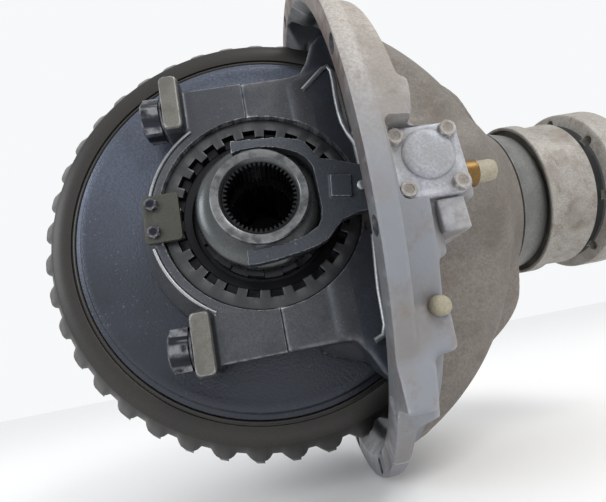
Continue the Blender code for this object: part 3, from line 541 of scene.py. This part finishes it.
# --------------------------------------------------------- hexagon-headed parts
def hex_bolt(name, body, look, node, at, turn, head_start, head_end, across, shank, washer=None):
    """A hexagon head with a chamfered, slightly dished top, on its shank."""
    half = across / 2
    profile = [(head_start - 30, 0), (head_start - 30, shank), (head_start, shank)]
    if washer:
        thick, washer_r = washer
        profile += [(head_start, washer_r - 0.5), (head_start + 0.5, washer_r),
                    (head_start + thick - 0.8, washer_r), (head_start + thick, washer_r - 1),
                    (head_start + thick, half * 1.02)]
    base = head_start + (washer[0] if washer else 0)
    chamfer = across * 0.07
    dish = head_end - 0.35
    profile += [(base, half, "hex"), (head_end - chamfer, half, "hex"),
                (head_end - chamfer * 0.5, half * 1.02), (head_end, half * 0.93),
                (head_end, half * 0.62), (dish, half * 0.55), (dish, 0)]
    bolt = lathe(name, profile, 48, turn, at)
    return finish(smooth(bolt, 28), body, "bolt", look, node)


def make_cap_bolts():
    for side, _, sign in SIDES:
        for level, z in (("upper", CAP_SCREW_Z), ("lower", -CAP_SCREW_Z)):
            hex_bolt("cap_screw_%s_%s" % (side, level), "carrier", BOLT,
                     "cap_bolt_%s_%s" % (side, level), (0, -sign * CAP_SCREW_Y, z), BACK,
                     75.3, 95.5, 36, 11.7, (3, 18.6))


def make_lock_plates():
    for side, turn, sign in SIDES:
        plate = slab("lock_tab_" + side, rounded_box_outline(-101.5, -70.5, -17, 26, 3),
                     125.3, 130, turn)
        tongue = slab("tongue", [(-78.4, -3.5), (-73.5, -3.5), (-73.5, 3.5), (-78.4, 3.5)],
                      114, 128, turn)
        holes = bars("holes", LOCK_SCREWS, 3.9, 120, 135, turn, 24)
        cut(join(plate, tongue), holes)
        finish(soften(plate, 0.8, 3), "carrier", "cast", PLATE, "lock_plate_" + side)
        for number, (x, z) in enumerate(LOCK_SCREWS, 1):
            hex_bolt("lock_cap_%s_%d" % (side, number), "carrier", BOLT,
                     "lock_screw_%s_%d" % (side, number), (x, 0, sign * z), turn,
                     130.3, 134.6, 10, 3.5)


def make_adjusters():
    for side, turn, _ in SIDES:
        ring = lathe("bearing_adjuster_" + side, [
            (103, 64), (103, 89.6), (119.2, 89.6), (120, 88.8), (120, 72.6), (119.2, 71.8),
            (110, 71.4), (110, 64)], 192, turn)
        cut(ring, wedges("gaps", 24, math.radians(8.4), (69, 79), (111, 122), 0, turn))
        finish(soften(ring, 0.5), "carrier", "machined", RING, "adjuster_" + side)
        touch(ring, OILED, lambda spot, _: abs(spot.y) < 118.8 and math.hypot(spot.x, spot.z) < 80)


# -------------------------------------------------------------- lock and fork
def spline_outline(count, root, tip):
    """A splined bore's outline; offsets are shares of one tooth's pitch."""
    outline = []
    for k in range(count):
        for radius, offset in ((root, -0.22), (root, 0.22), (tip, 0.36), (tip, 0.64)):
            angle = math.tau * (k + offset) / count
            outline.append((radius * math.cos(angle), radius * math.sin(angle)))
    return outline


def make_sleeve():
    sleeve = lathe("dog_sleeve", [
        (122, 27), (122, 56.6), (122.7, 57.3), (130, 57.3), (133, 56.9), (135.4, 55.8),
        (137.4, 54), (139, 51.4), (140.2, 48), (140.8, 44), (141, 37.2), (141.6, 36),
        (150, 36), (150.5, 36.8), (150.5, 40), (151.2, 40.8), (156, 40.8), (157, 39.6), (157, 34),
        (156.4, 33), (153, 30.8), (152.4, 27)], 192, NEAR)
    cut(sleeve, dog_notches("dogs", 121, 131, math.pi / 12),
        slab("spline", spline_outline(46, 30.4, 27.6), 115, 165, NEAR))
    finish(smooth(sleeve, 32), "sleeve", "machined", SLEEVE, "lock_sleeve")
    touch(sleeve, OILED, lambda spot, _: math.hypot(spot.x, spot.z) < 30.7)


def make_fork():
    inner = [(-17.9, 42.5), (-8, 44.5), (2, 44.6), (12, 43.6), (20.8, 41.6), (25.5, 39.6),
             (31, 37.2), (37.3, 33.8), (44.1, 27), (47.8, 18.9), (48.2, 5.4), (48.4, -8),
             (48, -17.9), (46, -27.3), (42.2, -33.1), (32.8, -37.8), (27.8, -39.6), (20, -41),
             (12, -42.4), (1.7, -43.2), (-8, -43.4), (-17.9, -43)]
    outer = [(-19, -55), (-10, -55.5), (4, -54.6), (15.3, -53), (27.3, -51.6), (40, -48.6),
             (48.1, -45.3), (56.4, -37.5), (63.7, -31), (78.6, -26.7), (90, -27), (104, -31.5),
             (112, -32), (117, -26), (118.5, -12), (118, 2), (112, 9), (100, 12), (89.3, 14.4),
             (81.9, 16.4), (67, 22.2), (55, 26), (51.8, 30), (50.1, 35), (46, 42), (41, 45.8),
             (25.7, 50.6), (8, 52.4), (-4, 53), (-17, 53.8)]
    fork = slab("selector_fork", inner + outer, 141.8, 152, NEAR)
    hub = bars("hub", [SHIFT_ROD], 18, 139, 152.6, NEAR, 64)
    pads = [slab("pad_" + level, [(-10, low), (8, low), (8, high), (-10, high)], 142, 149.9, NEAR)
            for level, low, high in (("upper", 36.9, 47), ("lower", -47, -36.9))]
    square = slab("square", [(57.6, -10.5), (74.8, -13.5), (77.3, 5.9), (60.2, 8.7)], 149, 154.6,
                  NEAR)
    join(fork, hub, square)
    cast(fork, 0.8, 3)
    boss = lathe("fork_pin", [(149, 0), (149, 4.6), (154.4, 4.2), (155.4, 2.8), (155.6, 0)],
                 32, NEAR, (85, 0, -5))
    join(fork, *pads, boss, solver="MANIFOLD")
    cut(fork, bars("bore", [SHIFT_ROD], 9.3, 130, 160, NEAR), solver="MANIFOLD")
    finish(smooth(fork, 45), "fork", "fork", FORK, "shift_fork")
    touch(fork, WEAR_AND_HIGHLIGHT, lambda spot, _: spot.y < -152.2 and math.hypot(spot.x - 85, spot.z + 5) < 4.9)


# ----------------------------------------------------------------- bearing caps
def make_cap(side, turn, sign):
    cap = lathe("main_cap_" + side, [
        (84.3, 84), (84.3, 115), (90, 115.5), (97, 113.5), (106, 108), (116, 102.5),
        (122, 99), (125, 97), (125, 84)], 128, turn)
    cut(cap, box("front", (-0.3, -300, -300), (300, 300, 300)))
    parts = []
    for leg_span, (low, high) in (((84, 127), (84, 140)), ((-127, -84), (-134, -80))):
        pad_low = rounded_box_outline(-75, -56, low, high, 4)
        pad_high = rounded_box_outline(-73.5, -57.5, low + 2, high - 2, 4)
        parts += [slab("leg", rounded_box_outline(-60, 4, *leg_span, 4), 84.3, 125, turn),
                  slab("pad", pad_low, 85, 128, turn),
                  tapered("pad_tip", pad_low, pad_high, 127, 135, turn)]
    join(cap, *parts)
    cast(cap, 1.5, 4)
    lips = [rib("lip", arc(99, start, end, 16), 1.5, 124.6, turn)
            for start, end in ((122, 164), (192, 238))]
    join(cap, *lips, solver="MANIFOLD")
    y = -sign * CAP_SCREW_Y
    cut(cap, bars("holes", [(CAP_SCREW_Z, y), (-CAP_SCREW_Z, y)], 12.3, -5, 90, BACK),
        bars("screws", LOCK_SCREWS, 3.9, 112, 130, turn, 24),
        box("split", (-0.3, -300, -300), (20, 300, 300)),
        bars("bore", [(0, 0)], BEARING_BORE, 70, 140, turn, 160),
        slab("inner", [(-130, -150), (20, -150), (20, 150), (-130, 150)], 70, 84.3, turn),
        slab("seat", rounded_box_outline(-102.5, -76, -18, 27, 2), 125, 131, turn),
        solver="MANIFOLD")
    finish(smooth(cap, 45), "carrier", "cast", CAST, "bearing_cap_" + side)
    # Painted highlight: the pad tips take the lighter pad colour.
    touch(cap, PAD_HIGHLIGHT, lambda spot, _: abs(spot.y) > 132.5)
    # Painted highlight: a bright line along the crest of the lips.
    touch(cap, WEAR_AND_HIGHLIGHT, lambda spot, _: 125.15 < abs(spot.y) < 126.3 and
          math.hypot(spot.x, spot.z) < 101)


# ---------------------------------------------------------------------- carrier
def pedestal(name, turn, upper, reach):
    """A bearing pedestal, the same above and below the axis."""
    points = [(-0.8, 127), (40, 127)] + upper + [(150, reach), (150, -reach)]
    points += [(x, -z) for x, z in reversed(upper)] + [(40, -127), (-0.8, -127)]
    return slab(name, points, 84, 125, turn)


def fork_passage(name, margin, start, end):
    """The way that the fork's arm takes out of the shift tower, narrowed by a margin."""
    low_x, high_x, low_z = 85 + margin, 139.5 - margin, -37 + margin
    return slab(name, [(low_x, low_z), (high_x, low_z), (high_x, 6), (118, 10), (104, 13.5),
                       (low_x, 18)], start, end, NEAR)


def carrier_blank():
    """The flange, the housing, the nose and the raised pads, still solid."""
    shell = lathe("head_casting", [
        (63, 0), (63, 258), (65, 259.3), (78, 259.3), (80, 257), (80.5, 240), (108, 234), (108, 0)],
        128, FRONT)
    dome = lathe("dome", [
        (100, 0), (100, 222), (112, 216), (130, 206), (147, 196.5), (165, 186), (185, 174.5),
        (205, 162), (217, 154.5), (228, 146), (236, 138), (242, 130), (246, 120), (250, 108),
        (253, 99), (256, 92), (262.3, 86), (262.3, 0)], 96, FRONT)
    cut(dome, box("near_half", (90, -300, -300), (300, -60, 300)))
    housing = lathe("housing", [
        (22, 0), (22, 244), (80, 244), (86, 242.5), (91, 238), (100, 224), (100, 0)], 128, NEAR)
    cut(housing, box("rear_half", (-300, -300, -300), (74.5, 300, 300)))
    nose = lathe("nose", [
        (150, 0), (150, 125), (200, 122), (222, 119), (232, 112.5), (240, 104), (252, 91),
        (262.3, 86), (262.3, 0)], 96, FRONT)
    tower = tapered("tower",
                    [(76, -52), (148, -52), (149, 14), (124, 22), (98, 26), (76, 26)],
                    [(78, -50), (144, -50), (144, 8), (121, 10), (99, 10), (78, 8)],
                    95, 216, NEAR)
    upper_pad = tapered("upper_pad", [(70, 10), (114, 10), (117, 42), (70, 50)],
                        [(70, 13), (111, 13), (115, 40), (70, 46)], 180, 231, NEAR)
    upper_rib = slab("upper_rib", [(70, 44), (103, 44), (99, 70), (92, 110), (70, 140)], 150, 203,
                     NEAR)
    lower_pad = tapered("lower_pad", [(70, -152), (110, -149), (112, -116), (70, -112)],
                        [(75, -147), (107, -146), (108, -120), (77, -118)], 140, 213, NEAR)
    lower_lug = slab("lower_lug", [(64, -179), (85, -179), (90, -150), (64, -148)], 120, 214, NEAR)
    lower_band = slab("lower_band", [(70, -150), (104, -150), (96, -190), (70, -196)], 100, 176,
                      NEAR)
    side_pad = slab("side_pad", [(72, -88), (117, -85), (117, -44), (72, -44)], 150, 213, NEAR)
    join(shell, dome, housing, nose, tower, upper_pad, upper_rib, lower_pad, lower_lug, lower_band,
         side_pad)
    return cast(shell, 2.4, 1)


def hollow_out(shell):
    pocket = lathe("pocket", [(50, 0), (50, 239.5), (64.5, 239.5), (77, 228), (84, 226),
                              (90, 226), (96, 220), (96, 0)], 128, FRONT)
    crown_space = lathe("crown_space", [(15, 0), (15, 237), (82, 237), (92, 224), (92, 0)],
                        128, NEAR)
    hollow = lathe("hollow", [(55, 0), (55, 212), (100, 207), (165, 172), (205, 147), (224, 124),
                              (224, 0)], 96, FRONT)
    cut(hollow, box("near_part", (0, -300, -300), (300, -20, 300)))
    cut(shell, pocket, crown_space, hollow, fork_passage("passage", 0, 110, 156),
        solver="MANIFOLD")


def add_pedestals(shell):
    near = pedestal("near_pedestal", NEAR,
                    [(57, 128), (66, 140), (74, 158), (84, 168), (98, 168)], 60)
    far = pedestal("far_pedestal", FAR, [(60, 145), (66, 165), (108, 173)], 140)
    web = slab("web", [(57, 121), (80, 131), (90, 124), (90, 64), (95, 45), (103, 26), (112, 10),
                       (112, -70), (92, -66), (88, -91), (84, -130), (74, -134), (45, -122),
                       (45, 118)], 100, 127.2, NEAR)
    fillet = tapered("fillet",
                     [(30, -135), (70, -150), (110, -150), (110, 150), (70, 150), (30, 130)],
                     [(40, -124), (72, -134), (100, -120), (100, 120), (72, 134), (40, 122)],
                     88, 116, NEAR)
    join(shell, near, far, web, fillet, solver="MANIFOLD")
    cast(shell, 2.2, 6)


def add_details(shell):
    lug = slab("lug", [(115, -71), (134, -71), (134, -40), (115, -40)], 150, 219, NEAR)
    soften(lug, 1.5, 3)
    knob = lathe("knob", [(190, 0), (190, 7.4), (212, 7), (216, 6.6), (218, 5.4), (219, 3.4),
                          (219, 0)], 48, NEAR, (KNOB[0], 0, KNOB[1]))
    top_rib = rib("top_rib", [(57, 108), (70, 119), (80, 127.5), (85, 129.5), (88, 124), (88, 114),
                              (86.6, 96), (86.3, 80), (87.2, 68), (89.8, 58), (96, 42), (101, 28)],
                  2.6, 126.8, NEAR)
    low_rib = rib("low_rib", [(91, -42), (88, -66), (85, -90), (83.4, -120), (80, -128), (72, -131)],
                  2.6, 126.8, NEAR)
    join(shell, lug, knob, top_rib, low_rib, solver="MANIFOLD")


def trim_faces(shell):
    """Cut the machined faces, the bores and every screw hole."""
    inner_wall = [(-20, -180), (62, -180), (62, 180), (-20, 180)]
    trims = [
        lathe("joint_face", [(40, 226), (64.5, 226), (64.5, 290), (40, 290)], 128, FRONT),
        box("split", (-20, -300, -300), (0.3, 300, 300)),
        bars("near_bore", [(0, 0)], BEARING_BORE, 70, 140, NEAR, 160),
        bars("far_bore", [(0, 0)], BEARING_BORE, 70, 140, FAR, 160),
        slab("near_inner", inner_wall, 70, 84, NEAR),
        slab("far_inner", inner_wall, 70, 84, FAR),
        bars("pinion_bore", [(0, 0)], 75, 200, 270, FRONT, 128),
        slab("nose_face", [(-200, -200), (200, -200), (200, 200), (-200, 200)], 262, 290, FRONT),
        slab("tower_top", rounded_box_outline(87, 149, -49, 9, 6), 215, 262, NEAR),
        bars("cylinder", [SHIFT_ROD], 18.4, 176, 230, NEAR, 64),
        fork_passage("fork_way", 0.5, 118, 156),
        bars("rod_hole", [SHIFT_ROD], 9.4, 87, 190, NEAR, 48),
        bars("cover_threads", COVER_SPOTS, 4.4, 200, 230, NEAR, 24),
        bars("plug_thread", [(15, -165)], 8, 137, 160, FRONT, 32)]
    for y in (-CAP_SCREW_Y, CAP_SCREW_Y):
        trims.append(bars("cap_threads", [(CAP_SCREW_Z, y), (-CAP_SCREW_Z, y)], 12.1, -55, 5,
                          BACK, 48))
    trims.append(bars("flange_holes", circle_spots(*FLANGE_HOLES), FLANGE_HOLE, 50, 100, FRONT, 32))
    cut(shell, *trims, solver="MANIFOLD")
    smooth(shell, 50)


def colour_carrier(shell):
    """The housing's outside is pale, its dome brown and its pocket dark with oil."""
    holes = [Vector(hole) for hole in circle_spots(*FLANGE_HOLES)]

    def dark(spot, normal):
        radius = math.hypot(spot.y, spot.z)
        inward = (normal.y * spot.y + normal.z * spot.z) / max(radius, 1e-6)
        if 64.6 < spot.x < 90 and radius < 240 and inward < -0.1:
            return True
        if spot.x < 107 and radius < 226.5 and spot.y > -185 and normal.x <= 0.3:
            return True
        return inward < 0.05 and normal.x < 0.3 and radius < 236 and spot.y > -190

    def near_part(spot):
        return spot.x < 48 and math.hypot(spot.y, spot.z) < 200 and abs(spot.y) > 82

    def in_hole(spot, normal):
        place = Vector((spot.y, spot.z))
        on_wall = any(abs((place - hole).length - FLANGE_HOLE) < 1 for hole in holes)
        return spot.x < 80.5 and abs(normal.x) < 0.5 and on_wall

    touch(shell, DOME, lambda spot, _: spot.x > 98.5 and spot.y > -135)
    touch(shell, POCKET, dark)
    touch(shell, CAST, lambda spot, normal: dark(spot, normal) and near_part(spot))
    touch(shell, CAST, lambda spot, _: spot.x < 64.2)
    touch(shell, RIM, lambda spot, normal: spot.x < 64.8 and normal.x < -0.9 and
          math.hypot(spot.y, spot.z) > 226)
    touch(shell, POCKET, in_hole)
    # Painted highlight: a bright line along the crest of the near face's ridges.
    touch(shell, WEAR_AND_HIGHLIGHT, lambda spot, _: -129.5 < spot.y < -127.3 and spot.x < 106)
    touch(shell, PALE, lambda spot, _: spot.y < -213.3 and
          math.hypot(spot.x - KNOB[0], spot.z - KNOB[1]) < 9)


def make_carrier():
    shell = carrier_blank()
    hollow_out(shell)
    add_pedestals(shell)
    add_details(shell)
    trim_faces(shell)
    finish(shell, "carrier", "carrier", OUTSIDE, "carrier_housing")
    colour_carrier(shell)


# ------------------------------------------------------- shift cover and switch
def make_cover():
    cover = slab("cylinder_cover", rounded_box_outline(88.5, 140.5, -47, 5, 9), 215.3, 222.3, NEAR)
    dome = lathe("cover_dome", [(217, 0), (217, 18.5), (222.4, 18.4), (223.6, 17.6), (224.6, 15.6),
                                (224.8, 12), (224.8, 0)], 96, NEAR, (116.5, 0, -16.5))
    soften(cover, 1.2, 3)
    join(cover, dome)
    cut(cover, bars("holes", COVER_SPOTS, 4.4, 210, 230, NEAR, 24))
    finish(smooth(cover, 40), "carrier", "carrier", COVER, "shift_cover")
    for number, (x, z) in enumerate(COVER_SPOTS, 1):
        hex_bolt("cover_screw_%d" % number, "carrier", PALE_BOLT, "cover_bolt_%d" % number,
                 (x, 0, z), NEAR, 222.4, 226.8, 11, 4)
    plug = lathe("lock_switch", [
        (138, 0), (138, 7.7), (147.4, 7.7), (147.4, 12, "hex"), (158, 12, "hex"), (159, 11.4),
        (174, 11.4), (175, 10.6), (176, 9.2), (188, 9), (191, 8), (192.5, 5), (193, 0)],
        48, FRONT, (0, -165, -15))
    finish(smooth(plug, 30), "carrier", "brass", BRASS, "switch_plug")
    touch(plug, PALE, lambda spot, _: spot.x > 175)


# ------------------------------------------------------------------- input end
def make_input():
    cage = lathe("bearing_cage", [
        (232, 66), (232, 74.7), (262.3, 74.7), (262.3, 85.6), (262.9, 86.2), (264.5, 85.4),
        (266, 84.5), (276, 82), (286, 80), (291, 78), (297, 72.6), (298, 71), (298, 46.3),
        (288, 46.3), (288, 58), (263, 58), (263, 52), (259, 52), (259, 66)], 160, FRONT)
    finish(soften(cage, 0.6), "carrier", "carrier", NOSE, "pinion_cage")
    shield = lathe("slinger", [
        (301.5, 62.7), (301, 82), (300, 83.6), (292, 84.2), (291, 85), (291, 87.2), (291.8, 88),
        (304.2, 88), (305, 87.2), (305, 62.7)], 160, FRONT)
    finish(smooth(shield, 40), "pinion", "carrier", FLANGE, "dust_shield")
    flange = lathe("drive_flange", [
        (288.5, 25.3), (288.5, 37.6), (301, 37.6), (301, 61.5), (305.5, 62), (305.5, 83),
        (306.5, 84), (326, 83.4), (343, 84), (344, 83.2), (346.5, 79.6), (348, 79), (355, 79),
        (356.5, 80), (358.4, 90), (360, 92), (387, 92), (388, 91), (388, 43), (387, 42), (356, 40),
        (354, 38), (354, 25.3)], 160, FRONT)
    cut(flange, bars("holes", circle_spots(81, 8, 0.39), 5.5, 352, 395, FRONT, 32))
    finish(soften(flange, 0.6), "pinion", "carrier", FLANGE, "companion_flange")
    touch(flange, RING, lambda spot, _: 345 < spot.x < 356.6 and
          76 < math.hypot(spot.y, spot.z) < 80.5)
    nut = lathe("shaft_nut", [
        (354.3, 22.6), (354.3, 30, "hex"), (371.5, 30, "hex"), (373, 30.5), (374, 28.5),
        (374, 22.6)], 96, FRONT)
    finish(smooth(nut, 30), "pinion", "bolt", BOLT, "pinion_nut")


# ------------------------------------------------------------ inner CAD pieces
def dress(look, *names):
    for name in names:
        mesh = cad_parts[name].data
        mesh.materials.clear()
        mesh.materials.append(look)


make_crown_wheel()
make_case()
make_cap_bolts()
make_lock_plates()
make_adjusters()
make_sleeve()
make_fork()
for place in SIDES:
    make_cap(*place)
make_carrier()
make_cover()
make_input()
dress(GEAR, "drive_pinion")
dress(OILED, "side_gear_near", "side_gear_far", "spider_gear_upper", "spider_gear_lower",
      "spider_gear_front", "spider_gear_rear", "cross", "bearing_cone_near")
dress(RING, "bearing_cup_near", "bearing_cup_far", "bearing_cone_far",
      "pinion_cup_inner", "pinion_cup_outer", "pinion_cone_inner", "pinion_cone_outer",
      "shift_rod", "shift_piston", "return_spring")
dress(BOLT, "case_bolt_1", "case_bolt_2", "case_bolt_3", "case_bolt_4")
dress(BRASS, "side_washer_near", "side_washer_far")
dress(RUBBER, "pinion_seal")


# -------------------------------------------------------------- camera and light
def make_floor():
    bm = bmesh.new()
    corners = [bm.verts.new(v) for v in ((-6, -4, FLOOR_Z), (6, -4, FLOOR_Z), (6, 6, FLOOR_Z),
                                         (-6, 6, FLOOR_Z))]
    bm.faces.new(corners)
    mesh = bpy.data.meshes.new("floor")
    bm.to_mesh(mesh)
    bm.free()
    floor = bpy.data.objects.new("floor", mesh)
    bpy.context.scene.collection.objects.link(floor)
    look = bpy.data.materials.new("pale_floor")
    look.use_nodes = True
    shader = look.node_tree.nodes["Principled BSDF"]
    shader.inputs["Base Color"].default_value = (0.9, 0.9, 0.9, 1)
    shader.inputs["Roughness"].default_value = 0.8
    mesh.materials.append(look)


def make_camera():
    forward = Vector((0.07865, 0.97106, 0.22553)).normalized()
    up = Vector((0.17560, -0.23619, 0.95571))
    right = forward.cross(up).normalized()
    up = right.cross(forward)
    camera = bpy.data.cameras.new("camera")
    camera.lens = LENS_MM
    camera.clip_start = 0.01
    holder = bpy.data.objects.new("camera", camera)
    turn = Matrix((right, up, -forward)).transposed().to_4x4()
    holder.matrix_world = Matrix.Translation(Vector((-0.0655, -0.486, -0.129))) @ turn
    bpy.context.scene.collection.objects.link(holder)
    bpy.context.scene.camera = holder


def make_lamp(name, place, aim, size, power, colour=(1, 1, 1)):
    lamp = bpy.data.lights.new(name, "AREA")
    lamp.energy = power
    lamp.size = size
    lamp.color = colour
    holder = bpy.data.objects.new(name, lamp)
    holder.location = place
    holder.rotation_euler = (Vector(aim) - Vector(place)).to_track_quat("-Z", "Y").to_euler()
    bpy.context.scene.collection.objects.link(holder)


def make_world():
    world = bpy.data.worlds.new("studio")
    world.use_nodes = True
    background = world.node_tree.nodes["Background"]
    background.inputs["Color"].default_value = (0.98, 0.99, 1.0, 1)
    background.inputs["Strength"].default_value = 0.95
    bpy.context.scene.world = world
    bpy.context.scene.view_settings.view_transform = "Standard"


make_floor()
make_camera()
make_world()
make_lamp("key", (0.7, -1.1, 1.2), (0.05, 0, 0), 0.8, 16, (1, 0.98, 0.95))
make_lamp("fill", (-1.3, -0.9, 0.5), (-0.1, 0, 0), 0.7, 8, (0.9, 0.95, 1))
